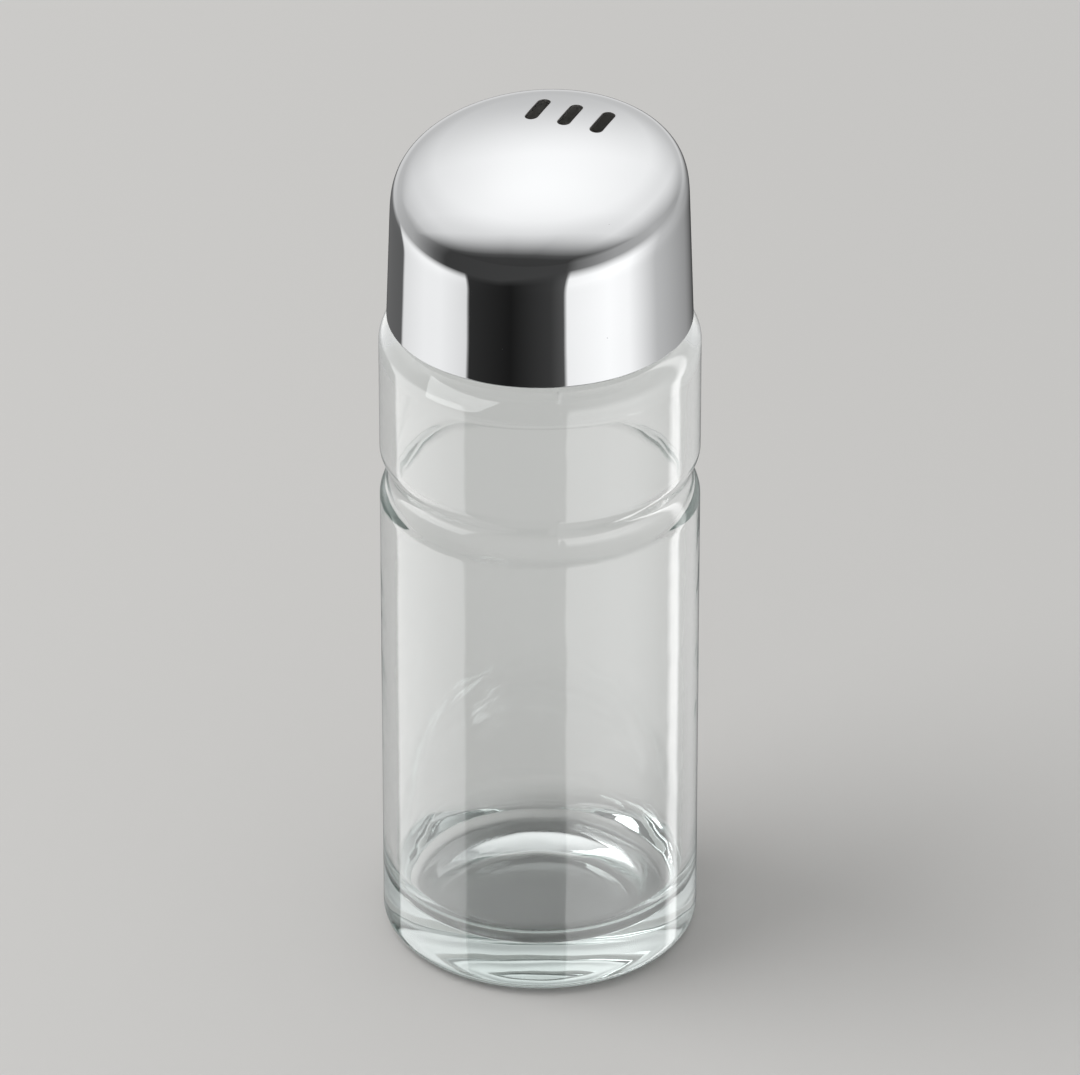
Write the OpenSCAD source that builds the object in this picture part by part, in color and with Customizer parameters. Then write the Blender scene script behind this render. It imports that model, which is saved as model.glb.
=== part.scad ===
// Table shaker for grated hard cheese: a clear glass jar under a slanted steel screw cap with three slots.
// Origin on the table at the middle of the jar, +Z up, the cap's low side towards -Y, in millimetres.

/* [Jar] */
// Outside diameter of the lower body and of the band above the waist
jar_d = 59; // [54:0.5:66]
// Thickness of the glass at the sides
wall_t = 2.8; // [2:0.1:3.6]
// Thickness of the glass floor above the table
base_t = 8; // [6:0.5:12]
// Rounding of the outer edge of the foot
foot_r = 3.5; // [2:0.5:6]
// Rounding between the inside of the wall and the floor
floor_r = 8; // [5:0.5:12]
// Rise of the hollow under the base
pushup_h = 2.4; // [1:0.2:3.6]
// Width of the flat ring that the jar stands on
foot_ring_w = 4; // [2.5:0.5:7]
// Height of the straight lower body
body_h = 91.5; // [60:0.5:130]
// Height of the waist groove
groove_h = 10.8; // [7:0.2:16]
// How far the waist groove draws in
groove_depth = 1.7; // [0.8:0.1:2.2]
// Height of the straight band between waist and shoulder
band_h = 21.4; // [16:0.1:34]
// Rounding of the shoulder
shoulder_r = 5.2; // [4:0.1:6]
// Thickness of the glass under the top of the shoulder
shoulder_t = 3.2; // [2.4:0.1:4]
// Rounding inside, where the shoulder turns up into the neck
throat_r = 1.4; // [0.8:0.1:2]

/* [Neck and thread] */
// Thickness of the glass in the neck
neck_wall = 3; // [2.4:0.1:3.6]
// Rounding of the lip, inside and outside
lip_r = 1; // [0.6:0.1:1.1]
// Rounding where the neck stands on the shoulder
neck_fillet = 0.9; // [0.5:0.1:1.2]
// Rise of the thread in one turn
thread_pitch = 4.2; // [3.6:0.1:5]
// How far the thread stands out from its wall
thread_h = 1.2; // [0.9:0.1:1.4]
// Width of the thread at its wall
thread_root_w = 2; // [1.6:0.1:2.2]
// Width of the thread at its crest
thread_crest_w = 0.8; // [0.5:0.1:1]
// Gap between the two threads, on the flanks and at the crests
thread_gap = 0.3; // [0.2:0.05:0.4]
// Height of the middle of the thread's start above the shoulder
thread_start_h = 6; // [5.5:0.1:8]
// Height of the lip above the middle of the thread's end
lip_h = 4.5; // [3.5:0.1:6]

/* [Cap] */
// How far the jar's band stands out past the cap's rim
ledge = 1.5; // [0.8:0.1:2.5]
// Height of the closed cap's rim above the top of the shoulder, which falls away under it
rim_gap = 0.1; // [0:0.1:1]
// Thickness of the sheet
sheet_t = 0.5; // [0.4:0.05:0.8]
// Taper of the skirt, in degrees to the side
skirt_draft = 2; // [0.5:0.25:3]
// Height of the crown above the screw insert, on the cap's axis
headroom = 15.4; // [14:0.1:24]
// Slant of the crown on the cap's axis, in degrees
crown_slant = 8.5; // [4:0.5:10]
// Radius of the dome that the crown is part of
crown_r = 105; // [90:5:160]
// Where the rounded edge of the crown starts, measured down the skirt
edge_down = 6; // [3:0.1:7]
// Where the rounded edge of the crown ends, measured in from the skirt
edge_in = 5.5; // [3:0.1:7]
// Width of the hem that is turned in under the rim
hem_w = 1.6; // [1.2:0.1:2]
// Rounding of the rim's outer corner
rim_r = 0.4; // [0.2:0.05:0.6]

/* [Slots] */
// Length of one slot
slot_l = 8; // [6:0.5:10]
// Width of one slot
slot_w = 2.4; // [1.8:0.1:3]
// Distance between the middles of two slots
slot_pitch = 6.4; // [5:0.1:7.5]
// Number of slots in the row
slot_count = 3; // [1:2:3]
// Distance from the far end of the slots to the back of the cap's rim
slot_edge = 10.3; // [8:0.1:12]

/* [Screw insert] */
// Distance from the inside of the shell at the rim to the bore of the insert
insert_depth = 3.4; // [3:0.1:4.4]
// Thickness of the threaded sleeve
sleeve_t = 1.3; // [1:0.1:1.6]
// Thickness of the flange on the hem
foot_flange_t = 1.2; // [0.8:0.1:1.8]
// Thickness of the flange over the lip
top_flange_t = 1.5; // [1:0.1:2]
// Thickness of one rib between sleeve and shell
rib_t = 1.2; // [0.8:0.1:2]
// Number of ribs
rib_count = 12; // [8:1:16]
// Gap between the insert and the shell
insert_gap = 0.1; // [0.1:0.05:0.3]

/* [Sealing washer] */
// Thickness of the washer
washer_t = 1; // [0.6:0.1:1.6]
// Gap between the washer and the bore of the insert
washer_gap = 0.3; // [0.2:0.05:0.6]
// How far the washer's hole stands back from the jar's mouth
washer_inset = 0.3; // [0.2:0.1:0.6]

/* [Hidden] */
$fn = 96;

// Steps along an arc, the waist, the rounded edge of the crown, and around the shell
arc_steps = 8;
waist_steps = 16;
edge_steps = 7;
shell_sides = 72;
// Steps that settle the corner between skirt and crown
corner_steps = 6;
// Rings of the crown between its middle and its rounded edge
crown_shares = [0.25, 0.5, 0.75];
// Share of the waist groove that the inside of the glass follows
inner_waist_share = 0.8;
// Where the jar's thread and the insert's thread start and end around the axis, in degrees
jar_start_angle = 0;
jar_end_angle = 420;
insert_start_angle = -30;
insert_end_angle = 280;
// Degrees over which a thread fades out at its ends, and degrees from one of its sections to the next
fade_angle = 25;
section_angle = 7.5;
// How deep the root of a thread lies in its wall
thread_sink = 0.4;
// How far a cut runs past what it cuts
overrun = 1;

// Radii from the outside inwards
jar_r = jar_d / 2;
inner_r = jar_r - wall_t;
cap_r = jar_r - ledge;
bore_r = cap_r - sheet_t - insert_depth;
crest_r = bore_r - thread_gap;
neck_r = crest_r - thread_h;
mouth_r = neck_r - neck_wall;
hem_r = cap_r - hem_w;
foot_ring_in_r = jar_r - foot_r - foot_ring_w;
inner_shoulder_r = inner_r - mouth_r - throat_r;

// Heights from the table upwards
groove_top = body_h + groove_h;
band_top = groove_top + band_h;
shoulder_top = band_top + shoulder_r;
thread_z = shoulder_top + thread_start_h;
thread_rise = thread_pitch * jar_end_angle / 360;
lip_z = thread_z + thread_rise + lip_h;
rim_z = shoulder_top + rim_gap;
hem_z = rim_z + sheet_t;
washer_z = lip_z + washer_t;
insert_z = washer_z + top_flange_t;

// Slope of a thread's flank, and the step between the two threads that leaves the gap on the flanks
flank = (thread_root_w - thread_crest_w) / 2 / thread_h;
thread_shift = thread_root_w - flank * (thread_h + thread_gap) + thread_gap;

// Middle of the dome: the crown is highest where it is level, behind the axis
crown_y = crown_r * sin(crown_slant);
crown_z = insert_z + headroom - crown_r * cos(crown_slant);
slot_y = cap_r - slot_edge - slot_l / 2;

// Points along an arc about c, from angle a0 to angle a1
function arc(c, r, a0, a1) =
    [for (i = [0:arc_steps]) let (a = a0 + (a1 - a0) * i / arc_steps) c + r * [cos(a), sin(a)]];

// Points of a smooth waist that draws in by depth, from the bottom of the groove upwards
function waist(r, depth) =
    [for (i = [0:waist_steps])
        let (u = i / waist_steps)
        [r - depth * (1 - cos(360 * u)) / 2, body_h + groove_h * u]];

function reversed(list) = [for (i = [len(list) - 1:-1:0]) list[i]];

// Radius of the outside of the skirt at a height
function skirt_r(z) = cap_r - (z - rim_z) * tan(skirt_draft);

// Height of the crown over a point, on the face that lies depth below the outside
function dome_z(r, a, depth) =
    crown_z + sqrt(pow(crown_r - depth, 2) - pow(r * cos(a), 2) - pow(r * sin(a) - crown_y, 2));

function on_dome(r, a, depth) = [r, dome_z(r, a, depth)];

// Corner where skirt and crown would meet without rounding, found by going back and forth between the two
function corner(a, depth, r = cap_r, steps = corner_steps) =
    steps == 0 ? on_dome(r, a, depth) : corner(a, depth, skirt_r(dome_z(r, a, depth)) - depth, steps - 1);

// Rounded edge from p0 to p2 that the corner p1 pulls outwards
function rounded_edge(p0, p1, p2) =
    [for (i = [0:edge_steps])
        let (u = i / edge_steps)
        pow(1 - u, 2) * p0 + 2 * u * (1 - u) * p1 + u * u * p2];

// Section of the sheet at angle a, from under the crown down to the hem and up again to the top of the crown
function sheet_section(a) =
    let (
        outer = corner(a, 0),
        inner = corner(a, sheet_t),
        edge_z = outer.y - edge_down,
        edge_r = outer.x - edge_in
    )
    concat(
        [for (share = crown_shares) on_dome(share * edge_r, a, sheet_t)],
        rounded_edge(on_dome(edge_r, a, sheet_t), inner, [skirt_r(edge_z) - sheet_t, edge_z]),
        [[skirt_r(hem_z) - sheet_t, hem_z], [hem_r, hem_z], [hem_r, rim_z]],
        arc([cap_r - rim_r, rim_z + rim_r], rim_r, -90, 0),
        rounded_edge([skirt_r(edge_z), edge_z], outer, on_dome(edge_r, a, 0)),
        [for (share = reversed(crown_shares)) on_dome(share * edge_r, a, 0)]
    );

// Sheet without its slots: the sections stand around the axis and meet at two middle points
module drawn_sheet() {
    sections = [for (i = [0:shell_sides - 1]) sheet_section(360 * i / shell_sides)];
    rows = len(sections[0]);
    rings = [for (k = [0:rows - 1], i = [0:shell_sides - 1])
        let (p = sections[i][k], a = 360 * i / shell_sides) [p.x * cos(a), p.x * sin(a), p.y]];
    under = rows * shell_sides;
    over = under + 1;
    last = (rows - 1) * shell_sides;
    around = [for (i = [0:shell_sides - 1]) [i, (i + 1) % shell_sides]];
    skin = [for (k = [0:rows - 2], c = around)
        let (low = k * shell_sides, high = low + shell_sides)
        each [[low + c[0], high + c[0], high + c[1]], [low + c[0], high + c[1], low + c[1]]]];
    polyhedron(
        concat(rings, [[0, 0, dome_z(0, 0, sheet_t)], [0, 0, dome_z(0, 0, 0)]]),
        concat(
            [for (c = around) [under, c[0], c[1]]],
            skin,
            [for (c = around) [last + c[0], over, last + c[1]]]
        )
    );
}

// Outline of one slot with round ends
module slot_outline() {
    square([slot_w, slot_l - slot_w], center = true);
    for (side = [-1, 1])
        translate([0, side * (slot_l - slot_w) / 2])
            circle(d = slot_w);
}

// Thread on a wall of radius r that fades out at its ends: side is 1 for outwards and -1 for inwards
module thread(r, side, z, from, to) {
    steps = ceil((to - from) / section_angle);
    sections = [for (i = [0:steps])
        let (
            a = from + (to - from) * i / steps,
            grown = min(1, (a - from) / fade_angle, (to - a) / fade_angle),
            rise = grown * (thread_h + thread_sink / 2) - thread_sink / 2,
            half_root = thread_root_w / 2 + flank * thread_sink,
            half_crest = thread_root_w / 2 - flank * rise,
            mid = z + thread_pitch * a / 360,
            root = r - side * thread_sink,
            crest = r + side * rise,
            near = min(root, crest),
            far = max(root, crest),
            half_near = side > 0 ? half_root : half_crest,
            half_far = side > 0 ? half_crest : half_root
        )
        [for (p = [[near, -half_near], [far, -half_far], [far, half_far], [near, half_near]])
            [p.x * cos(a), p.x * sin(a), mid + p.y]]];
    corners = len(sections[0]);
    end = steps * corners;
    skin = [for (i = [0:steps - 1], j = [0:corners - 1])
        let (here = i * corners, next = here + corners, k = (j + 1) % corners)
        each [[here + j, here + k, next + k], [here + j, next + k, next + j]]];
    polyhedron(
        [for (section = sections) each section],
        concat([[0, 2, 1], [0, 3, 2]], skin, [[end, end + 1, end + 2], [end, end + 2, end + 3]])
    );
}

// Pressed glass jar with a hollow under its base, a waist groove and a threaded neck
module glass_jar() {
    pushup_r = (pow(foot_ring_in_r, 2) + pow(pushup_h, 2)) / (2 * pushup_h);
    pushup_angle = asin(foot_ring_in_r / pushup_r);
    outside = concat(
        arc([0, pushup_h - pushup_r], pushup_r, 90, 90 - pushup_angle),
        arc([jar_r - foot_r, foot_r], foot_r, -90, 0),
        waist(jar_r, groove_depth),
        arc([jar_r - shoulder_r, band_top], shoulder_r, 0, 90),
        arc([neck_r + neck_fillet, shoulder_top + neck_fillet], neck_fillet, 270, 180),
        arc([neck_r - lip_r, lip_z - lip_r], lip_r, 0, 90)
    );
    inner_shoulder_z = shoulder_top - shoulder_t - inner_shoulder_r;
    inside = concat(
        arc([mouth_r + lip_r, lip_z - lip_r], lip_r, 90, 180),
        arc([mouth_r + throat_r, shoulder_top - shoulder_t + throat_r], throat_r, 180, 270),
        arc([inner_r - inner_shoulder_r, inner_shoulder_z], inner_shoulder_r, 90, 0),
        reversed(waist(inner_r, groove_depth * inner_waist_share)),
        arc([inner_r - floor_r, base_t + floor_r], floor_r, 0, -90),
        [[0, base_t]]
    );
    color("lightcyan", 0.4) {
        rotate_extrude()
            polygon(concat(outside, inside));
        thread(neck_r, 1, thread_z, jar_start_angle, jar_end_angle);
    }
}

// Deep-drawn steel cap with its punched row of slots
module cap_shell() {
    color("silver")
        difference() {
            drawn_sheet();
            for (i = [0:slot_count - 1])
                translate([(i - (slot_count - 1) / 2) * slot_pitch, slot_y, insert_z])
                    linear_extrude(crown_z + crown_r - insert_z + overrun)
                        slot_outline();
        }
}

// Moulded screw ring: it stands on the hem, fills the shell with its ribs and carries the thread
module thread_insert() {
    sleeve_r = bore_r + sleeve_t;
    foot_z = hem_z + foot_flange_t;
    seat_r = skirt_r(hem_z) - sheet_t - insert_gap;
    color("whitesmoke") {
        rotate_extrude()
            polygon([
                [bore_r, hem_z],
                [seat_r, hem_z],
                [seat_r - foot_flange_t * tan(skirt_draft), foot_z],
                [sleeve_r, foot_z],
                [sleeve_r, washer_z],
                [skirt_r(washer_z) - sheet_t - insert_gap, washer_z],
                [skirt_r(insert_z) - sheet_t - insert_gap, insert_z],
                [mouth_r, insert_z],
                [mouth_r, washer_z],
                [bore_r, washer_z]
            ]);
        for (i = [0:rib_count - 1])
            rotate([90, 0, 360 * i / rib_count])
                linear_extrude(rib_t, center = true)
                    polygon([
                        [bore_r + sleeve_t / 2, hem_z + foot_flange_t / 2],
                        [skirt_r(foot_z) - sheet_t - 2 * insert_gap, hem_z + foot_flange_t / 2],
                        [skirt_r(insert_z) - sheet_t - 2 * insert_gap, washer_z + top_flange_t / 2],
                        [bore_r + sleeve_t / 2, washer_z + top_flange_t / 2]
                    ]);
        thread(bore_r, -1, thread_z - thread_shift, insert_start_angle, insert_end_angle);
    }
}

// Soft ring between the glass lip and the insert
module sealing_washer() {
    color("gainsboro")
        translate([0, 0, lip_z])
            linear_extrude(washer_t)
                difference() {
                    circle(r = bore_r - washer_gap);
                    circle(r = mouth_r + washer_inset);
                }
}

glass_jar();
cap_shell();
thread_insert();
sealing_washer();
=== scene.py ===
import math

import bpy
import numpy as np
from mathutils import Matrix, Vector
from mathutils.geometry import delaunay_2d_cdt


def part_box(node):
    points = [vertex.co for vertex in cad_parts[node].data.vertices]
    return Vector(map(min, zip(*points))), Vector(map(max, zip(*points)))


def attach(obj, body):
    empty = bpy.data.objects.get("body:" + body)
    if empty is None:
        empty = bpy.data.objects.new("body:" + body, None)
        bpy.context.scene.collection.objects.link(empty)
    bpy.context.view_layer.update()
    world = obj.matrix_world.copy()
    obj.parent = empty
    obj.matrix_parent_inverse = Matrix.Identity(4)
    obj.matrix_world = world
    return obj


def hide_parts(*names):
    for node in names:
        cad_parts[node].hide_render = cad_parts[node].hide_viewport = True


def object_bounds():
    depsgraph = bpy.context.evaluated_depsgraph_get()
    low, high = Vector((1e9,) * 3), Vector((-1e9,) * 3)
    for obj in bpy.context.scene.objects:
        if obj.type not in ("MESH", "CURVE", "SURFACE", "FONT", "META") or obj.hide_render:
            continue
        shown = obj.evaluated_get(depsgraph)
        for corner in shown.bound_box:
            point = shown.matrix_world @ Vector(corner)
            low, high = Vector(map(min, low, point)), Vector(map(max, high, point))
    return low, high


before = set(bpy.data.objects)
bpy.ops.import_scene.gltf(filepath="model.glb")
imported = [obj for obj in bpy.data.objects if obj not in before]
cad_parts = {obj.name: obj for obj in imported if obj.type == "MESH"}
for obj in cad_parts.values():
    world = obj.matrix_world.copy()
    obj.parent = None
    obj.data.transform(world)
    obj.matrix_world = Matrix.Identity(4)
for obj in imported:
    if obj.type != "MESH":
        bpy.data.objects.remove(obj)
cad_low, cad_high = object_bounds()


# Glass jar
# A pressed and blown jar of clear soda-lime glass: heavy floor with a hollow under it, straight body, waist
# groove, upper band, rounded shoulder, and a neck whose moulded thread carries the cap. Sizes are in mm.
MM = 0.001
jar_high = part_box("glass_jar")[1]
jar_r = jar_high.x / MM
lip_z = jar_high.z / MM
wall_t = 2.8
inner_r = jar_r - wall_t
floor_t = 8.0
floor_r = 8.0
foot_r = 3.5
foot_ring_w = 4.0
hollow_h = 2.4
body_h = 91.5
groove_h = 10.8
groove_depth = 1.7
inner_groove_depth = 1.36
shoulder_top = 128.9
shoulder_r = 5.2
shoulder_t = 3.2
throat_r = 1.4
neck_r = 22.6
neck_fillet = 0.9
mouth_r = 19.6
lip_r = 1.0
thread_pitch = 4.2
thread_h = 1.2
thread_root_w = 2.0
thread_crest_w = 0.8
thread_fade_angle = 25.0
jar_thread_rise = 6.0
jar_thread_z = shoulder_top + jar_thread_rise
jar_thread_angles = (0.0, 420.0)
seam_angles = (-60.0, 120.0)
seam_w = 0.4
seam_h = 0.03
seam_mark_h = 0.45
seam_mark_z = 127.2
seam_mark_l = 0.7
wave_h = 0.02
wave_calm_h = 10.0
inside_waves = ((2, 11.0), (3, -17.0), (5, 7.0))
straight_step = 2.0
neck_step = 0.25
jar_angle_step = 1.5


def arc(centre_r, centre_z, radius, start, end, steps):
    """Points (radius, height) along an arc about a centre, from one angle to another in degrees."""
    turns = np.radians(np.linspace(start, end, steps + 1))
    return [(centre_r + radius * math.cos(t), centre_z + radius * math.sin(t)) for t in turns]


def line(start, end, steps):
    """Points between the ends of a straight stretch of a section."""
    shares = [i / steps for i in range(1, steps)]
    return [(start[0] + (end[0] - start[0]) * s, start[1] + (end[1] - start[1]) * s) for s in shares]


def waist(radius, depth, steps):
    """Points of the smooth groove, from its bottom upwards."""
    turns = np.linspace(0, 1, steps + 1)
    return [(radius - depth * (1 - math.cos(math.tau * t)) / 2, body_h + groove_h * t) for t in turns]


def joined(stretches, spacing):
    """One section from several stretches of points, with straight lines filled in between them."""
    section = list(stretches[0])
    for stretch in stretches[1:]:
        steps = max(1, round(math.dist(section[-1], stretch[0]) / spacing))
        section += line(section[-1], stretch[0], steps) + list(stretch)
    return section


def turned(section, angles, radius_of=None):
    """Vertices and faces of a section turned about Z. radius_of(k, radii, height) may shape the rings."""
    turns = np.radians(np.asarray(angles))
    verts, rings, faces = [], [], []
    for k, (radius, height) in enumerate(section):
        if radius == 0:
            rings.append([len(verts)] * len(turns))
            verts.append((0.0, 0.0, height))
            continue
        radii = np.full(len(turns), radius)
        if radius_of:
            radii = radius_of(k, radii, height)
        rings.append(list(range(len(verts), len(verts) + len(turns))))
        verts += [(r * math.cos(t), r * math.sin(t), height) for r, t in zip(radii, turns)]
    for low, high in zip(rings, rings[1:]):
        for c in range(len(turns)):
            d = (c + 1) % len(turns)
            face = [low[c], low[d], high[d], high[c]]
            faces.append([v for i, v in enumerate(face) if v != face[i - 1]])
    return verts, faces


def thread_rise(angles, height, start_z, limits):
    """How far a thread's round-topped ridge stands out of its wall at each angle, at one height."""
    ridge = np.zeros(len(angles))
    for lap in (-1, 0, 1):
        place = np.asarray(angles) + 360.0 * lap
        grown = np.clip(np.minimum(place - limits[0], limits[1] - place) / thread_fade_angle, 0, 1)
        away = np.abs(height - (start_z + thread_pitch * place / 360.0))
        share = np.clip((thread_root_w / 2 - away) / ((thread_root_w - thread_crest_w) / 2), 0, 1)
        ridge = np.maximum(ridge, thread_h * grown * share * share * (3 - 2 * share))
    return ridge


def add_piece(name, verts, faces, material):
    """A smooth-shaded mesh object in the part's frame, from millimetres."""
    mesh = bpy.data.meshes.new(name)
    mesh.from_pydata([tuple(c * MM for c in v) for v in verts], [], faces)
    mesh.validate()
    mesh.shade_smooth()
    mesh.materials.append(material)
    piece = bpy.data.objects.new(name, mesh)
    bpy.context.scene.collection.objects.link(piece)
    return piece


def linear(code):
    """Linear RGBA from an sRGB hex value."""
    shares = [int(code[i:i + 2], 16) / 255 for i in (1, 3, 5)]
    return [c / 12.92 if c <= 0.04045 else ((c + 0.055) / 1.055) ** 2.4 for c in shares] + [1.0]


def add_node(tree, kind, inputs=None, stops=None, **settings):
    """A node with its settings, ramp stops and inputs: values, sockets, or nodes by their first output."""
    made = tree.nodes.new(kind)
    for name, value in settings.items():
        setattr(made, name, value)
    for i, (place, level) in enumerate(stops or []):
        elements = made.color_ramp.elements
        stop = elements[i] if i < 2 else elements.new(place)
        stop.position = place
        stop.color = (level, level, level, 1.0)
    for name, value in (inputs or {}).items():
        if isinstance(value, bpy.types.Node):
            value = next(out for out in value.outputs if out.enabled)
        if isinstance(value, bpy.types.NodeSocket):
            tree.links.new(value, made.inputs[name])
        else:
            made.inputs[name].default_value = value
    return made


def new_material(name):
    """An empty node material and its tree."""
    material = bpy.data.materials.new(name)
    material.use_nodes = True
    material.node_tree.nodes.clear()
    return material, material.node_tree


# Clear soda-lime glass, pressed and fire-polished: no colour but a breath of green where it is thick, and a
# skin that waves gently every centimetre or so, which makes the highlights on the shoulder ripple.
glass_colour = "#FCFDFD"
glass_depth_colour = "#E3EAE8"
glass_wave_mm = 9.0
glass_wave_depth_mm = 0.3
clear_glass, tree = new_material("clear_soda_lime_glass")
place = add_node(tree, "ShaderNodeTexCoord").outputs["Object"]
skin_waves = add_node(tree, "ShaderNodeTexNoise", {
    "Vector": place, "Scale": 1 / (glass_wave_mm * MM), "Detail": 1.0, "Roughness": 0.4})
ripple = add_node(tree, "ShaderNodeBump", {
    "Height": skin_waves, "Strength": 0.25, "Distance": glass_wave_depth_mm * MM})
glass = add_node(tree, "ShaderNodeBsdfPrincipled", {
    "Base Color": linear(glass_colour), "Roughness": 0.0, "IOR": 1.52, "Transmission Weight": 1.0,
    "Normal": ripple})
depth = add_node(tree, "ShaderNodeVolumeAbsorption", {"Color": linear(glass_depth_colour), "Density": 25.0})
add_node(tree, "ShaderNodeOutputMaterial", {"Surface": glass, "Volume": depth})

# The section of the glass, outside and then inside. The last number of a round stretch counts its facets,
# and the inner shoulder starts where the throat ends.
hollow_in_r = jar_r - foot_r - foot_ring_w
hollow_r = (hollow_in_r ** 2 + hollow_h ** 2) / (2 * hollow_h)
hollow_angle = math.degrees(math.asin(hollow_in_r / hollow_r))
band_top = shoulder_top - shoulder_r
inner_shoulder_r = inner_r - mouth_r - throat_r
inner_shoulder_z = shoulder_top - shoulder_t - inner_shoulder_r
hollow = [(0.0, hollow_h)] + arc(0, hollow_h - hollow_r, hollow_r, 90, 90 - hollow_angle, 12)[1:]
neck_heights = np.arange(shoulder_top + neck_fillet + neck_step, lip_z - lip_r, neck_step)
outside = joined([
    hollow,
    arc(jar_r - foot_r, foot_r, foot_r, -90, 0, 16),
    waist(jar_r, groove_depth, 36),
    arc(jar_r - shoulder_r, band_top, shoulder_r, 0, 90, 28),
    arc(neck_r + neck_fillet, shoulder_top + neck_fillet, neck_fillet, 270, 180, 6),
    [(neck_r, z) for z in neck_heights],
    arc(neck_r - lip_r, lip_z - lip_r, lip_r, 0, 90, 8)], straight_step)
inside = joined([
    arc(mouth_r + lip_r, lip_z - lip_r, lip_r, 90, 180, 8),
    arc(mouth_r + throat_r, shoulder_top - shoulder_t + throat_r, throat_r, 180, 270, 8),
    arc(inner_r - inner_shoulder_r, inner_shoulder_z, inner_shoulder_r, 90, 0, 24)[1:],
    waist(inner_r, inner_groove_depth, 32)[::-1],
    arc(inner_r - floor_r, floor_t + floor_r, floor_r, 0, -90, 28),
    [(0.0, floor_t)]], straight_step)

# Columns of the mesh lie closer together beside the two seams of the mould.
seam_steps = np.array([-2.4, -1.6, -1.0, -0.6, -0.3, 0, 0.3, 0.6, 1.0, 1.6, 2.4])
jar_columns = [np.arange(-180, 180, jar_angle_step)] + [seam + seam_steps for seam in seam_angles]
jar_angles = sorted({round(float(a), 3) for a in np.concatenate(jar_columns)})


def jar_radius(k, radii, height):
    """Thread on the neck, seam of the mould on the outside, and gentle waves of the blown inside."""
    angles = np.array(jar_angles)
    if k >= len(outside):
        turns = np.radians(angles)
        waves = sum(np.sin(lobes * turns + height / pitch) for lobes, pitch in inside_waves)
        from_floor = max(0.0, height - floor_t - floor_r)
        from_lip = max(0.0, lip_z - height)
        return radii + wave_h * min(1.0, from_floor / wave_calm_h, from_lip / wave_calm_h) * waves
    if shoulder_top + neck_fillet < height < lip_z - lip_r:
        return radii + thread_rise(angles, height, jar_thread_z, jar_thread_angles)
    if foot_r < height < shoulder_top:
        mark = math.exp(-((height - seam_mark_z) / seam_mark_l) ** 2)
        for seam in seam_angles:
            away = np.radians(angles - seam) * jar_r / seam_w
            radii = radii + (seam_h + seam_mark_h * mark) * np.exp(-away * away)
        return np.minimum(radii, jar_r)
    return radii


glass_jar = add_piece("glass_jar_body", *turned(outside + inside, jar_angles, jar_radius), clear_glass)
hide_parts("glass_jar")
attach(glass_jar, "jar")


# Sealing washer
# A flat ring punched from soft pale sheet and pushed up into the screw insert, where it closes on the glass
# lip. It rises with the cap and does not turn with it.
washer_low, washer_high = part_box("sealing_washer")
washer_r = washer_high.x / MM
washer_z = (washer_low.z / MM, washer_high.z / MM)
washer_gap = 0.3
washer_in_r = mouth_r + washer_gap
washer_edge_r = 0.2
ring_angle_step = 2.5

# Soft polyethylene foam, calendered: pale and matt, with fine closed cells that show as a faint grain.
washer_colour = "#D9D8D2"
foam_cell_mm = 0.5
foam_cell_depth_mm = 0.05
soft_seal, tree = new_material("soft_polyethylene_sheet")
place = add_node(tree, "ShaderNodeTexCoord").outputs["Object"]
cells = add_node(tree, "ShaderNodeTexVoronoi", {"Vector": place, "Scale": 1 / (foam_cell_mm * MM)})
cell_grain = add_node(tree, "ShaderNodeBump", {
    "Height": cells, "Strength": 0.3, "Distance": foam_cell_depth_mm * MM})
foam = add_node(tree, "ShaderNodeBsdfPrincipled", {
    "Base Color": linear(washer_colour), "Roughness": 0.6, "IOR": 1.5, "Normal": cell_grain})
add_node(tree, "ShaderNodeOutputMaterial", {"Surface": foam})


def rounded_ring(in_r, out_r, low_z, high_z, edge_r, spacing):
    """Closed section of a ring with rounded edges."""
    corners = [(in_r + edge_r, low_z + edge_r, 180, 270), (out_r - edge_r, low_z + edge_r, 270, 360),
               (out_r - edge_r, high_z - edge_r, 0, 90), (in_r + edge_r, high_z - edge_r, 90, 180)]
    rounds = [arc(r, z, edge_r, start, end, 4) for r, z, start, end in corners]
    return joined(rounds + [rounds[0][:1]], spacing)


def closed_ring(section, angles, radius_of=None):
    """A closed section turned about Z, with the doubled first ring welded to the last."""
    verts, faces = turned(section, angles, radius_of)
    last = len(verts) - len(angles)
    faces = [[v - last if v >= last else v for v in face] for face in faces]
    return verts[:last], faces


ring_angles = np.arange(0, 360, ring_angle_step)
washer_section = rounded_ring(washer_in_r, washer_r, *washer_z, washer_edge_r, straight_step)
sealing_washer = add_piece("sealing_washer_ring", *closed_ring(washer_section, ring_angles), soft_seal)
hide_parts("sealing_washer")
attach(sealing_washer, "washer")


# Screw insert
# A ring moulded in natural polypropylene. It stands on the cap's hem, its ribs fill the shell, its sleeve
# has the thread inside, and its top flange presses the washer on the glass.
insert_low, insert_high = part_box("thread_insert")
insert_z = (insert_low.z / MM, insert_high.z / MM)
insert_foot_r = insert_high.x / MM
skirt_taper = math.tan(math.radians(2.0))
bore_r = 24.1
sleeve_t = 1.3
sleeve_r = bore_r + sleeve_t
foot_flange_t = 1.2
foot_flange_z = insert_z[0] + foot_flange_t
top_flange_t = 1.5
top_flange_z = insert_z[1] - top_flange_t
flange_fillet = 0.5
rib_count = 12
rib_t = 1.2
rib_gap = 0.1
thread_drop = 1.55
insert_thread_z = jar_thread_z - thread_drop
insert_thread_angles = (-30.0, 280.0)
bore_step = 0.3
flange_step = 4.0
insert_sharp_angle = 35.0

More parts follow.
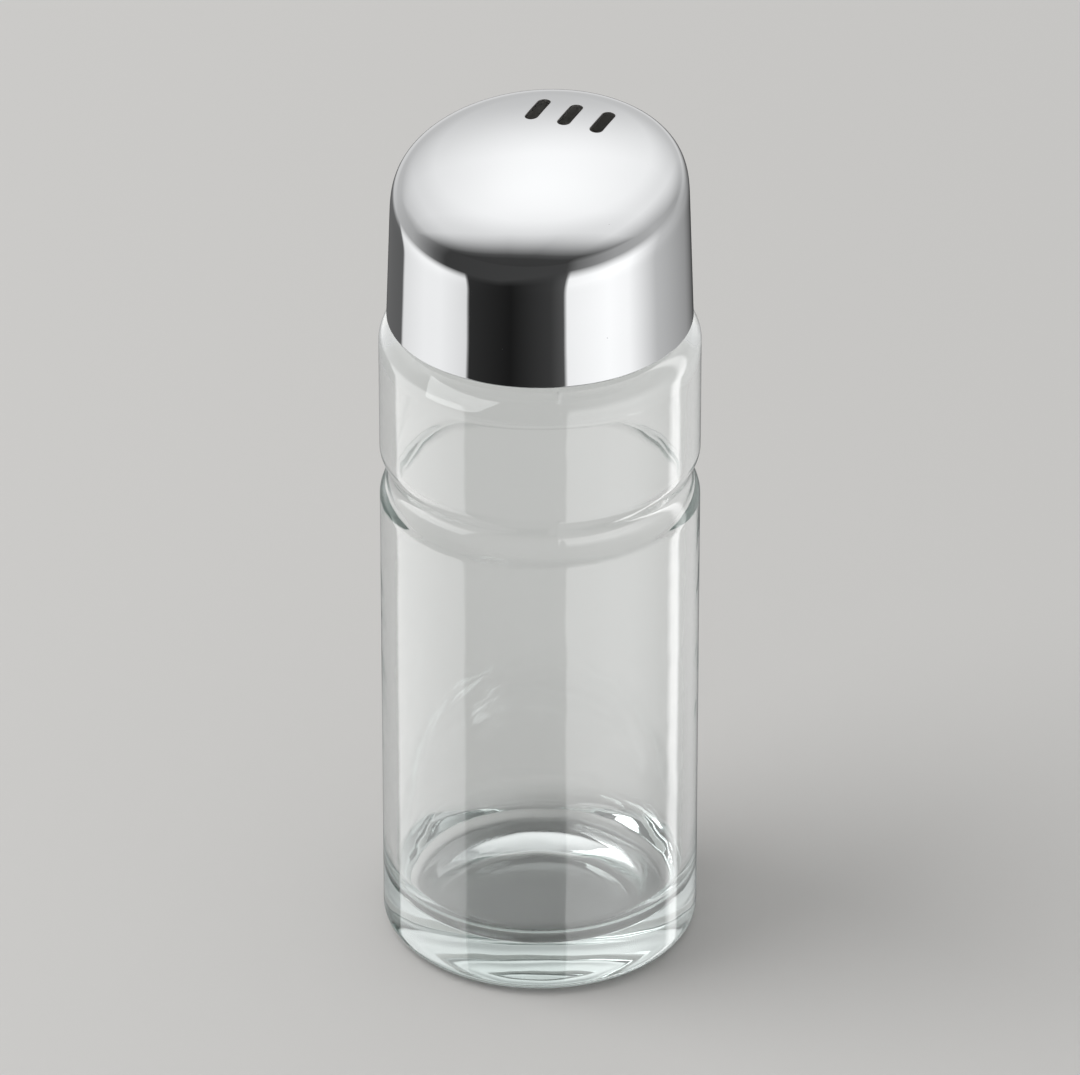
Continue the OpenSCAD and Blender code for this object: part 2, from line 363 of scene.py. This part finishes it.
# Natural polypropylene, injection moulded: milky, a little shiny, with the faint texture of the mould.
insert_colour = "#E4E3DC"
mould_grain_mm = 0.8
mould_grain_depth_mm = 0.05
milky_depth_mm = 1.5
moulded_plastic, tree = new_material("moulded_natural_polypropylene")
place = add_node(tree, "ShaderNodeTexCoord").outputs["Object"]
mould_texture = add_node(tree, "ShaderNodeTexNoise", {
    "Vector": place, "Scale": 1 / (mould_grain_mm * MM), "Detail": 3.0})
mould_grain = add_node(tree, "ShaderNodeBump", {
    "Height": mould_texture, "Strength": 0.15, "Distance": mould_grain_depth_mm * MM})
gloss = add_node(tree, "ShaderNodeMapRange", {"Value": mould_texture, "To Min": 0.36, "To Max": 0.5})
plastic = add_node(tree, "ShaderNodeBsdfPrincipled", {
    "Base Color": linear(insert_colour), "Roughness": gloss, "IOR": 1.49, "Normal": mould_grain,
    "Subsurface Weight": 0.25, "Subsurface Radius": (1.0, 1.0, 0.9),
    "Subsurface Scale": milky_depth_mm * MM})
add_node(tree, "ShaderNodeOutputMaterial", {"Surface": plastic})


def insert_out_r(height):
    """Outside of the insert at a height: it follows the taper of the shell."""
    return insert_foot_r - (height - insert_z[0]) * skirt_taper


bore_heights = np.arange(top_flange_z - bore_step, insert_z[0] + bore_step / 3, -bore_step)
insert_section = joined([
    [(bore_r, insert_z[0])],
    [(insert_out_r(insert_z[0]), insert_z[0])],
    [(insert_out_r(foot_flange_z), foot_flange_z)],
    arc(sleeve_r + flange_fillet, foot_flange_z + flange_fillet, flange_fillet, 270, 180, 4),
    arc(sleeve_r + flange_fillet, top_flange_z - flange_fillet, flange_fillet, 180, 90, 4),
    [(insert_out_r(top_flange_z), top_flange_z)],
    [(insert_out_r(insert_z[1]), insert_z[1])],
    arc(mouth_r + flange_fillet, insert_z[1] - flange_fillet, flange_fillet, 90, 180, 4),
    [(mouth_r, top_flange_z)],
    [(bore_r, top_flange_z)],
    [(bore_r, z) for z in bore_heights],
    [(bore_r, insert_z[0])]], flange_step)


def insert_radius(k, radii, height):
    """The thread stands inwards from the bore."""
    if radii[0] != bore_r or not insert_z[0] < height < top_flange_z:
        return radii
    return radii - thread_rise(ring_angles, height, insert_thread_z, insert_thread_angles)


def rib(angle):
    """Vertices and faces of one rib, a tapered plate from the middle of the sleeve's wall to the shell."""
    low_z = insert_z[0] + foot_flange_t / 2
    high_z = insert_z[1] - top_flange_t / 2
    root_r = sleeve_r - sleeve_t / 2
    outward = Vector((math.cos(angle), math.sin(angle), 0))
    across = Vector((-math.sin(angle), math.cos(angle), 0)) * rib_t / 2
    corners = [(root_r, low_z), (insert_out_r(low_z) - rib_gap, low_z),
               (insert_out_r(high_z) - rib_gap, high_z), (root_r, high_z)]
    verts = [outward * r + side * across + Vector((0, 0, z)) for side in (-1, 1) for r, z in corners]
    return verts, [[0, 1, 2, 3], [7, 6, 5, 4], [0, 4, 5, 1], [1, 5, 6, 2], [2, 6, 7, 3], [3, 7, 4, 0]]


ring_verts, ring_faces = closed_ring(insert_section, ring_angles, insert_radius)
thread_insert = add_piece("thread_insert_ring", ring_verts, ring_faces, moulded_plastic)
rib_verts, rib_faces = [], []
for i in range(rib_count):
    more_verts, more_faces = rib(math.tau * i / rib_count)
    rib_faces += [[v + len(rib_verts) for v in face] for face in more_faces]
    rib_verts += more_verts
ribs = add_piece("thread_insert_ribs", rib_verts, rib_faces, moulded_plastic)
union = thread_insert.modifiers.new("ribs", "BOOLEAN")
union.operation = "UNION"
union.solver = "EXACT"
union.object = ribs
bpy.context.view_layer.update()
with_ribs = thread_insert.evaluated_get(bpy.context.evaluated_depsgraph_get())
ribbed = bpy.data.meshes.new_from_object(with_ribs)
thread_insert.modifiers.clear()
thread_insert.data = ribbed
ribbed.set_sharp_from_angle(angle=math.radians(insert_sharp_angle))
bpy.data.objects.remove(ribs)
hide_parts("thread_insert")
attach(thread_insert, "cap")


# Cap shell
# One blank of stainless steel, deep drawn to a tapered skirt with a slanted dome, punched with three slots,
# turned in at the rim to hold the insert, and polished to a mirror.
shell_low, shell_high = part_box("cap_shell")
cap_r = shell_high.x / MM
rim_z = shell_low.z / MM
crown_top_z = shell_high.z / MM
sheet_t = 0.5
dome_r = 105.0
dome_slant = math.radians(8.5)
dome_y = dome_r * math.sin(dome_slant)
dome_z = crown_top_z - dome_r
# From the corner where skirt and dome would meet, the rounded edge reaches this far down and in.
edge_down = 7.5
edge_in_front = 9.0
edge_in_back = 6.0
hem_w = 1.6
rim_r = 0.4
slot_l = 8.0
slot_w = 2.4
slot_pitch = 6.4
slot_y = 13.7
slot_roll = 0.12
slot_middles = (-slot_pitch, 0.0, slot_pitch)
shell_angle_step = 1.5
crown_grid = 1.6
grid_margin_share = 0.6
merge_distance = 1e-7
wall_steps = 8
rim_steps = 6
edge_steps = 24
corner_steps = 8
slot_steps = 14
roll_steps = 5
shell_sharp_angle = 50.0

# Stainless steel, deep drawn and mirror polished: it shows the room almost as a mirror does, with the faint
# unevenness that drawing leaves in the sheet and a film of the finest wiping marks and dust.
steel_colour = "#E9EAEB"
drawing_wave_mm = 14.0
drawing_wave_depth_mm = 0.1
wipe_mark_mm = 1.2
dust_spacing_mm = 6.0
dust_speck_mm = 0.5
polished_steel, tree = new_material("mirror_polished_stainless_steel")
place = add_node(tree, "ShaderNodeTexCoord").outputs["Object"]
unevenness = add_node(tree, "ShaderNodeTexNoise", {
    "Vector": place, "Scale": 1 / (drawing_wave_mm * MM), "Detail": 1.0})
wiping = add_node(tree, "ShaderNodeTexNoise", {
    "Vector": place, "Scale": 1 / (wipe_mark_mm * MM), "Detail": 4.0})
film = add_node(tree, "ShaderNodeMapRange", {
    "Value": wiping, "From Min": 0.4, "From Max": 0.75, "To Min": 0.02, "To Max": 0.05})
dust = add_node(tree, "ShaderNodeTexVoronoi", {"Vector": place, "Scale": 1 / (dust_spacing_mm * MM)})
speck = add_node(tree, "ShaderNodeMapRange", {
    "Value": dust, "From Min": dust_speck_mm / dust_spacing_mm / 2, "From Max": 0.0,
    "To Min": 0.0, "To Max": 0.7})
dulled = add_node(tree, "ShaderNodeMath", {0: film, 1: speck}, operation="MAXIMUM")
drawing_wave = add_node(tree, "ShaderNodeBump", {
    "Height": unevenness, "Strength": 0.5, "Distance": drawing_wave_depth_mm * MM})
mirror = add_node(tree, "ShaderNodeBsdfPrincipled", {
    "Base Color": linear(steel_colour), "Metallic": 1.0, "Roughness": dulled, "Normal": drawing_wave})
add_node(tree, "ShaderNodeOutputMaterial", {"Surface": mirror})

# The inside of the shell and the punched edges aren't polished: dull grey rolled and drawn sheet. Its base
# colour, darker than the polished steel's, is painted shade that keeps the slots and the inside dark.
drawn_colour_with_painted_shade = "#B4B2B0"
drawn_steel_with_painted_shade, tree = new_material("dull_drawn_steel_with_painted_shade")
place = add_node(tree, "ShaderNodeTexCoord").outputs["Object"]
streaks = add_node(tree, "ShaderNodeTexNoise", {
    "Vector": place, "Scale": 1 / (wipe_mark_mm * MM), "Detail": 4.0})
dullness = add_node(tree, "ShaderNodeMapRange", {"Value": streaks, "To Min": 0.55, "To Max": 0.75})
dull_sheet = add_node(tree, "ShaderNodeBsdfPrincipled", {
    "Base Color": linear(drawn_colour_with_painted_shade), "Metallic": 1.0, "Roughness": dullness})
add_node(tree, "ShaderNodeOutputMaterial", {"Surface": dull_sheet})


def skirt_r(height):
    """Outside of the skirt at a height."""
    return cap_r - (height - rim_z) * skirt_taper


def dome_height(x, y, below):
    """Height of the dome over a point, on the face that lies that far below the outside."""
    return dome_z + math.sqrt((dome_r - below) ** 2 - x * x - (y - dome_y) ** 2)


def crown_edge(angle, below, steps):
    """Points (radius, height) of the rounded edge at an angle, from the skirt up into the dome. The curve
    starts without any bend, so the mirror shows no line where it leaves the skirt."""
    out_x, out_y = math.cos(angle), math.sin(angle)
    corner_r = cap_r
    for _ in range(corner_steps):
        corner_r = skirt_r(dome_height(corner_r * out_x, corner_r * out_y, 0))
    low_z = dome_height(corner_r * out_x, corner_r * out_y, 0) - edge_down
    low = np.array([skirt_r(low_z) - below, low_z])
    high_r = corner_r - edge_in_front - (edge_in_back - edge_in_front) * (1 + out_y) / 2
    high = np.array([high_r, dome_height(high_r * out_x, high_r * out_y, below)])
    fall = -(high_r - dome_y * out_y) / (high[1] - dome_z)
    meet_r = (high[1] - fall * high_r - low[1] - low[0] / skirt_taper) / (-1 / skirt_taper - fall)
    corner = np.array([meet_r, high[1] + fall * (meet_r - high_r)])
    bend = low + (corner - low) * 2 / 3
    points = []
    for share in np.linspace(0, 1, steps + 1):
        rest = 1 - share
        near_low = rest ** 3 * low + 3 * share * rest * rest * bend
        points.append(tuple(near_low + 3 * share * share * rest * corner + share ** 3 * high))
    return points


def slot_outline(middle_x, grown):
    """Points around one slot with round ends, grown outwards."""
    radius = slot_w / 2 + grown
    half = (slot_l - slot_w) / 2
    points = []
    for side, start in ((1, 0.0), (-1, math.pi)):
        for i in range(slot_steps + 1):
            turn = start + math.pi * i / slot_steps
            end_y = slot_y + side * half
            points.append((middle_x + radius * math.cos(turn), end_y + radius * math.sin(turn)))
        for i in range(1, slot_steps):
            reach = half - 2 * half * i / slot_steps
            points.append((middle_x - side * radius, slot_y + side * reach))
    return points


def slot_distance(x, y):
    """Distance of a point from the nearest slot's edge, negative inside a slot."""
    past = max(0.0, abs(y - slot_y) - (slot_l - slot_w) / 2)
    return min(math.hypot(x - middle, past) for middle in slot_middles) - slot_w / 2


# The skin of the sheet runs from the dome's edge inside, down to the hem, round the rim and up outside.
shell_turns = np.radians(np.arange(0, 360, shell_angle_step))
columns = len(shell_turns)
skin_columns = []
for turn in shell_turns:
    edge = crown_edge(turn, 0, edge_steps)
    inner_edge = crown_edge(turn, sheet_t, edge_steps // 2)[::-1]
    hem = [(skirt_r(rim_z + sheet_t) - sheet_t, rim_z + sheet_t), (cap_r - hem_w, rim_z + sheet_t),
           (cap_r - hem_w, rim_z)]
    rim = arc(cap_r - rim_r, rim_z + rim_r, rim_r, -90, 0, rim_steps)
    inner_wall = line(inner_edge[-1], hem[0], wall_steps)
    outer_wall = line(rim[-1], edge[0], wall_steps)
    skin_columns.append(inner_edge + inner_wall + hem + rim + outer_wall + edge)
row_count = len(skin_columns[0])
top_row = (row_count - 1) * columns
shell_verts = []
for k in range(row_count):
    for column, t in zip(skin_columns, shell_turns):
        radius, height = column[k]
        shell_verts.append((radius * math.cos(t), radius * math.sin(t), height))
shell_faces = []
for k in range(row_count - 1):
    for c in range(columns):
        d = (c + 1) % columns
        shell_faces.append([k * columns + c, k * columns + d, (k + 1) * columns + d, (k + 1) * columns + c])

# The dome's field of triangles leaves the slots free, and serves for both faces of the sheet.
field = [tuple(v[:2]) for v in shell_verts[top_row:]]
grid_limit = min(math.hypot(*p) for p in field) - crown_grid * grid_margin_share
loops = [list(range(columns))]
for middle_x in slot_middles:
    ring = slot_outline(middle_x, slot_roll)
    loops.append(list(range(len(field), len(field) + len(ring))))
    field += ring
outline_count = len(field)
span = np.arange(-cap_r, cap_r, crown_grid)
for i, x in enumerate(span):
    for y in span + (i % 2) * crown_grid / 2:
        if math.hypot(x, y) < grid_limit and slot_distance(x, y) > slot_roll + crown_grid / 2:
            field.append((float(x), float(y)))
borders = [(loop[i - 1], loop[i]) for loop in loops for i in range(len(loop))]
points = [Vector(p) for p in field]
_, _, triangles, origin, _, _ = delaunay_2d_cdt(points, borders, [], 0, merge_distance)
source = [from_points[0] for from_points in origin]
slot_loops = [set(loop) for loop in loops[1:]]
kept = []
for triangle in triangles:
    corners = [source[v] for v in triangle]
    if not any(loop.issuperset(corners) for loop in slot_loops):
        kept.append(corners)

slot_bottoms = [p for middle_x in slot_middles for p in slot_outline(middle_x, 0.0)]
outer_of, inner_of = {}, {}
for i, (x, y) in enumerate(field):
    if i < columns:
        outer_of[i] = top_row + i
        inner_of[i] = i
        continue
    outer_of[i] = len(shell_verts)
    shell_verts.append((x, y, dome_height(x, y, 0)))
    x, y = slot_bottoms[i - columns] if i < outline_count else (x, y)
    inner_of[i] = len(shell_verts)
    shell_verts.append((x, y, dome_height(x, y, sheet_t)))
shell_faces += [[outer_of[v] for v in triangle] for triangle in kept]
shell_faces += [[inner_of[v] for v in triangle[::-1]] for triangle in kept]

# The punched edges roll over from the dome into the slot's straight wall.
roll_normals = {}
slot_wall = []
for loop, middle_x in zip(loops[1:], slot_middles):
    rings = [[outer_of[v] for v in loop]]
    roll_top = slot_outline(middle_x, slot_roll)
    roll_foot = slot_outline(middle_x, 0.0)
    for step in range(1, roll_steps + 1):
        tilt = math.pi / 2 * step / roll_steps
        ring = slot_outline(middle_x, slot_roll * (1 - math.sin(tilt)))
        rings.append(list(range(len(shell_verts), len(shell_verts) + len(ring))))
        slot_wall += rings[-1]
        for (x, y), (top_x, top_y), (foot_x, foot_y) in zip(ring, roll_top, roll_foot):
            inward = Vector((foot_x - top_x, foot_y - top_y, 0)).normalized()
            roll_normals[len(shell_verts)] = Vector((0, 0, 1)) * math.cos(tilt) + inward * math.sin(tilt)
            shell_verts.append((x, y, dome_height(x, y, 0) - slot_roll * (1 - math.cos(tilt))))
    rings.append([inner_of[v] for v in loop])
    for upper_ring, lower_ring in zip(rings, rings[1:]):
        for i in range(len(loop)):
            shell_faces.append([upper_ring[i - 1], upper_ring[i], lower_ring[i], lower_ring[i - 1]])

cap_shell = add_piece("cap_shell_sheet", shell_verts, shell_faces, polished_steel)
shell_mesh = cap_shell.data
shell_mesh.set_sharp_from_angle(angle=math.radians(shell_sharp_angle))
# The inside of the shell and the slot walls take the dull steel, whose darker colour is painted shade.
shell_mesh.materials.append(drawn_steel_with_painted_shade)
inner_rows = edge_steps // 2 + wall_steps + 1
dull_painted_shade_points = set(range(inner_rows * columns)) | set(inner_of.values()) | set(slot_wall)
for polygon in shell_mesh.polygons:
    polygon.material_index = int(dull_painted_shade_points.issuperset(polygon.vertices))

# A mirror shows every facet, so the outside takes its normals from the true curves, and the top of the
# rounded rim takes the skirt's.
skin = np.array(shell_verts[:row_count * columns]).reshape(row_count, columns, 3)
around = np.roll(skin, -1, axis=1) - np.roll(skin, 1, axis=1)
row_gaps = np.linalg.norm(np.diff(skin, axis=0), axis=2).mean(axis=1)
upward = np.gradient(skin, np.concatenate([[0.0], np.cumsum(row_gaps)]), axis=0)
skin_normals = np.cross(around, upward)
skin_normals /= np.linalg.norm(skin_normals, axis=2, keepdims=True)
dome_middle = Vector((0, dome_y, dome_z))
shell_normals = [Vector((0, 0, 0)) for _ in shell_verts]
rim_row = row_count - edge_steps - wall_steps - 1
skin_normals[rim_row] = skin_normals[rim_row + 1]
for k in range(rim_row, row_count - 1):
    for c in range(columns):
        shell_normals[k * columns + c] = Vector(skin_normals[k, c])
for v in outer_of.values():
    shell_normals[v] = (Vector(shell_verts[v]) - dome_middle).normalized()
for v, normal in roll_normals.items():
    shell_normals[v] = normal.normalized()
shell_mesh.normals_split_custom_set_from_vertices(shell_normals)
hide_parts("cap_shell")
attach(cap_shell, "cap")


# Floor
# A plain sweep of matt pale grey card under the shaker, a hair below the glass. Away from the shaker the
# card fades into the backdrop.
floor_half = 10000.0
floor_z = -0.2
card_reach = 200.0
backdrop_reach = 1200.0

# Uncoated card, calendered: even, pale and without shine, so it shows the shadow and no reflection.
card_colour = "#C4C3C1"
backdrop_colour = "#D5D4D2"
matt_card, tree = new_material("matt_pale_grey_card")
card = add_node(tree, "ShaderNodeBsdfPrincipled", {
    "Base Color": linear(card_colour), "Roughness": 0.9, "Specular IOR Level": 0.1})
place = add_node(tree, "ShaderNodeTexCoord").outputs["Object"]
distance = add_node(tree, "ShaderNodeVectorMath", {0: place}, operation="LENGTH")
fade = add_node(tree, "ShaderNodeMapRange", {
    "Value": distance, "From Min": card_reach * MM, "From Max": backdrop_reach * MM},
    interpolation_type="SMOOTHSTEP")
far_card = add_node(tree, "ShaderNodeEmission", {"Color": linear(backdrop_colour), "Strength": 1.0})
sweep = add_node(tree, "ShaderNodeMixShader", {0: fade, 1: card, 2: far_card})
add_node(tree, "ShaderNodeOutputMaterial", {"Surface": sweep})
floor_corners = [(x * floor_half, y * floor_half, floor_z) for x, y in ((-1, -1), (1, -1), (1, 1), (-1, 1))]
floor = add_piece("floor_card", floor_corners, [[0, 1, 2, 3]], matt_card)
floor.visible_glossy = False


# Camera
# A long lens from the front right and above, as the photograph looks at the shaker, with the shaker in the
# middle. The camera and the lamp are placed in metres, and the frame is in pixels.
view_azimuth = math.radians(23.5)
view_elevation = math.radians(30.4)
camera_distance = 1.76
frame_share = 0.86
frame_w = 1080
frame_h = 1075
look_at = (cad_low + cad_high) / 2
back = Vector((math.sin(view_azimuth) * math.cos(view_elevation),
               -math.cos(view_azimuth) * math.cos(view_elevation), math.sin(view_elevation)))
size = cad_high - cad_low
seen_height = size.z * math.cos(view_elevation) + size.y * math.sin(view_elevation)
camera_data = bpy.data.cameras.new("camera")
camera_data.sensor_width = 36.0
camera_data.lens = camera_data.sensor_width * camera_distance * frame_share / seen_height * frame_h / frame_w
camera_data.clip_end = 50.0
camera = bpy.data.objects.new("camera", camera_data)
camera.location = look_at + back * camera_distance
camera.rotation_mode = "QUATERNION"
camera.rotation_quaternion = (-back).to_track_quat("-Z", "Y")
bpy.context.scene.collection.objects.link(camera)
bpy.context.scene.camera = camera


# Studio
# A soft key lamp from the upper left and an even pale room light the shaker. What the steel and the glass
# mirror is the studio itself: a wide white panel overhead, white cards low on both sides, and a dark front.
key_place = Vector((-0.9, -0.5, 1.5))
key = bpy.data.lights.new("key_softbox", "AREA")
key.shape = "DISK"
key.size = 1.4
key.energy = 17.0
key_lamp = bpy.data.objects.new("key_softbox", key)
key_lamp.location = key_place
key_lamp.rotation_mode = "QUATERNION"
key_lamp.rotation_quaternion = (look_at - key_place).to_track_quat("-Z", "Y")
key_lamp.visible_glossy = False
bpy.context.scene.collection.objects.link(key_lamp)

room_level = 0.7
lamp_level = 0.28
strip_level = 3.0
glass_gain = 2.6
backdrop_level = linear(backdrop_colour)[0]
dark_turn = 12.0
dark_azimuth = view_azimuth - math.radians(dark_turn)
world = bpy.data.worlds.new("studio")
world.use_nodes = True
tree = world.node_tree
tree.nodes.clear()


def panel_levels(value, low, high, stops, blend="LINEAR"):
    """Light levels of a panel along a value, from stops in the value's own units."""
    share = add_node(tree, "ShaderNodeMapRange", {"Value": value, "From Min": low, "From Max": high})
    shares = [((at - low) / (high - low), level) for at, level in stops]
    ramp = add_node(tree, "ShaderNodeValToRGB", {"Fac": share}, stops=shares)
    ramp.color_ramp.interpolation = blend
    return ramp


# Where a ray goes: its rise, its bearing from the dark front, and its angle over the shaker from the back.
way = add_node(tree, "ShaderNodeTexCoord").outputs["Generated"]
rise = add_node(tree, "ShaderNodeSeparateXYZ", {"Vector": way}).outputs["Z"]
right_way = (math.cos(dark_azimuth), math.sin(dark_azimuth), 0.0)
front_way = (math.sin(dark_azimuth), -math.cos(dark_azimuth), 0.0)
right = add_node(tree, "ShaderNodeVectorMath", {0: way, 1: right_way}, operation="DOT_PRODUCT")
front = add_node(tree, "ShaderNodeVectorMath", {0: way, 1: front_way}, operation="DOT_PRODUCT")
heading = add_node(tree, "ShaderNodeMath", {0: right, 1: front}, operation="ARCTAN2")
bearing = add_node(tree, "ShaderNodeMath", {0: heading}, operation="DEGREES")
behind = add_node(tree, "ShaderNodeMath", {0: front, 1: -1.0}, operation="MULTIPLY")
lift = add_node(tree, "ShaderNodeMath", {0: rise, 1: 0.0}, operation="MAXIMUM")
climb = add_node(tree, "ShaderNodeMath", {0: lift, 1: behind}, operation="ARCTAN2")
over = add_node(tree, "ShaderNodeMath", {0: climb}, operation="DEGREES")

# White cards low on both sides of the dark front, a little brighter at the top and dark at the foot.
cards = panel_levels(bearing, -180, 180, [
    (-180, 0.06), (-150, 0.14), (-115, 0.12), (-112, 0.85), (-85, 1.0), (-68, 1.0), (-45, 0.82), (-43, 0.03),
    (-10, 0.012), (20, 0.045), (30, 0.09), (32, 1.0), (65, 1.16), (82, 1.1), (110, 0.56), (155, 0.33),
    (180, 0.06)])
card_top = add_node(tree, "ShaderNodeMapRange", {
    "Value": rise, "From Min": -0.45, "From Max": -0.37, "To Min": 1.0, "To Max": 1.1})
card_foot = add_node(tree, "ShaderNodeMapRange", {
    "Value": rise, "From Min": -0.8, "From Max": -0.68, "To Min": 0.15, "To Max": 1.0})
topped_cards = add_node(tree, "ShaderNodeMath", {0: cards, 1: card_top}, operation="MULTIPLY")
lower = add_node(tree, "ShaderNodeMath", {0: topped_cards, 1: card_foot}, operation="MULTIPLY")

# Pale ceiling from the back to the dark front, longer at the sides, with a soft lamp over the back.
off_middle = add_node(tree, "ShaderNodeMath", {0: right, 1: 0.15}, operation="ADD")
aside = add_node(tree, "ShaderNodeMath", {0: off_middle}, operation="ABSOLUTE")
side_length = add_node(tree, "ShaderNodeMapRange", {
    "Value": aside, "From Min": 0.1, "From Max": 0.8, "To Min": 0.0, "To Max": 21.0})
front_half = add_node(tree, "ShaderNodeMapRange", {"Value": over, "From Min": 40, "From Max": 90})
longer = add_node(tree, "ShaderNodeMath", {0: side_length, 1: front_half}, operation="MULTIPLY")
ceiling_angle = add_node(tree, "ShaderNodeMath", {0: over, 1: longer}, operation="SUBTRACT")
ceiling = panel_levels(ceiling_angle, 0, 180, [
    (0, 0.75), (10, 0.6), (20, 0.62), (45, 0.87), (62, 0.93), (76, 0.85), (90, 0.5), (100, 0.28),
    (112, 0.09), (122, 0.05), (180, 0.04)])
sides = panel_levels(right, -1, 1, [
    (-1, 0.4), (-0.85, 0.75), (-0.6, 0.94), (-0.3, 1.0), (0.35, 1.02), (0.8, 0.6), (1, 0.4)])
lamp_length = panel_levels(over, 0, 180, [
    (0, 0), (24, 0), (46, lamp_level), (54, lamp_level), (80, 0), (180, 0)], "EASE")
lamp_width = panel_levels(right, -1, 1, [(-1, 0), (-0.56, 0), (-0.2, 1.0), (0.24, 0), (1, 0)], "EASE")
lamp = add_node(tree, "ShaderNodeMath", {0: lamp_length, 1: lamp_width}, operation="MULTIPLY")
overhead = add_node(tree, "ShaderNodeMath", {0: ceiling, 1: sides, 2: lamp}, operation="MULTIPLY_ADD")

# Grey walls all round, between the cards and the ceiling.
walls = panel_levels(bearing, -180, 180, [
    (-180, 0.36), (-150, 0.56), (-125, 0.55), (-93, 0.43), (-70, 0.13), (-60, 0.05), (28, 0.06), (36, 0.17),
    (65, 0.38), (100, 0.49), (150, 0.34), (180, 0.36)])
wall_top = add_node(tree, "ShaderNodeMapRange", {
    "Value": rise, "From Min": 0.5, "From Max": 0.85, "To Min": 1.0, "To Max": 0.0})
faded_walls = add_node(tree, "ShaderNodeMath", {0: walls, 1: wall_top}, operation="MULTIPLY")
upper = add_node(tree, "ShaderNodeMath", {0: overhead, 1: faded_walls}, operation="MAXIMUM")
card_edge_low = add_node(tree, "ShaderNodeMapRange", {
    "Value": right, "From Min": -0.3, "From Max": 0.4, "To Min": -0.34, "To Max": -0.24})
card_edge_high = add_node(tree, "ShaderNodeMapRange", {
    "Value": right, "From Min": -0.3, "From Max": 0.4, "To Min": -0.2, "To Max": 0.1})
above_cards = add_node(tree, "ShaderNodeMapRange", {
    "Value": rise, "From Min": card_edge_low, "From Max": card_edge_high})
mirrored = add_node(tree, "ShaderNodeMix", {"Factor": above_cards, "A": lower, "B": upper})

# Steel mirrors the studio as it is. Glass, whose rays are singular, mirrors it more strongly and adds the
# narrow highlight of a strip lamp on its right side. Through the glass shows the pale backdrop.
strip = panel_levels(bearing, -180, 180, [
    (-180, 0), (117, 0), (123, strip_level), (130, strip_level), (134, 0), (180, 0)])
by_glass = add_node(tree, "ShaderNodeMath", {0: mirrored, 1: glass_gain, 2: strip}, operation="MULTIPLY_ADD")
ray = add_node(tree, "ShaderNodeLightPath").outputs
direct = add_node(tree, "ShaderNodeMath", {0: ray["Diffuse Depth"], 1: 0.5}, operation="LESS_THAN")
glossy = add_node(tree, "ShaderNodeMath", {0: ray["Is Glossy Ray"], 1: direct}, operation="MULTIPLY")
through = add_node(tree, "ShaderNodeMath", {0: ray["Is Transmission Ray"], 1: direct}, operation="MULTIPLY")
high_up = add_node(tree, "ShaderNodeMapRange", {"Value": rise, "From Min": 0.2, "From Max": 0.45})
reflected = add_node(tree, "ShaderNodeMix", {"Factor": ray["Is Singular Ray"], "A": mirrored, "B": by_glass})
refracted = add_node(tree, "ShaderNodeMix", {"Factor": high_up, "A": backdrop_level, "B": mirrored})
around_steel = add_node(tree, "ShaderNodeMix", {"Factor": glossy, "A": room_level, "B": reflected})
room = add_node(tree, "ShaderNodeMix", {"Factor": through, "A": around_steel, "B": refracted})
backdrop = add_node(tree, "ShaderNodeMix", {"Factor": ray["Is Camera Ray"], "A": room, "B": backdrop_level})
studio_light = add_node(tree, "ShaderNodeBackground", {"Color": backdrop, "Strength": 1.0})
add_node(tree, "ShaderNodeOutputWorld", {"Surface": studio_light})
bpy.context.scene.world = world
bpy.context.scene.view_settings.view_transform = "Standard"

# Thick clear glass pipes light a long way, and goes black where the bounces run out.
glass_bounces = 96
bpy.context.scene.cycles.max_bounces = glass_bounces
bpy.context.scene.cycles.glossy_bounces = glass_bounces
bpy.context.scene.cycles.transmission_bounces = glass_bounces
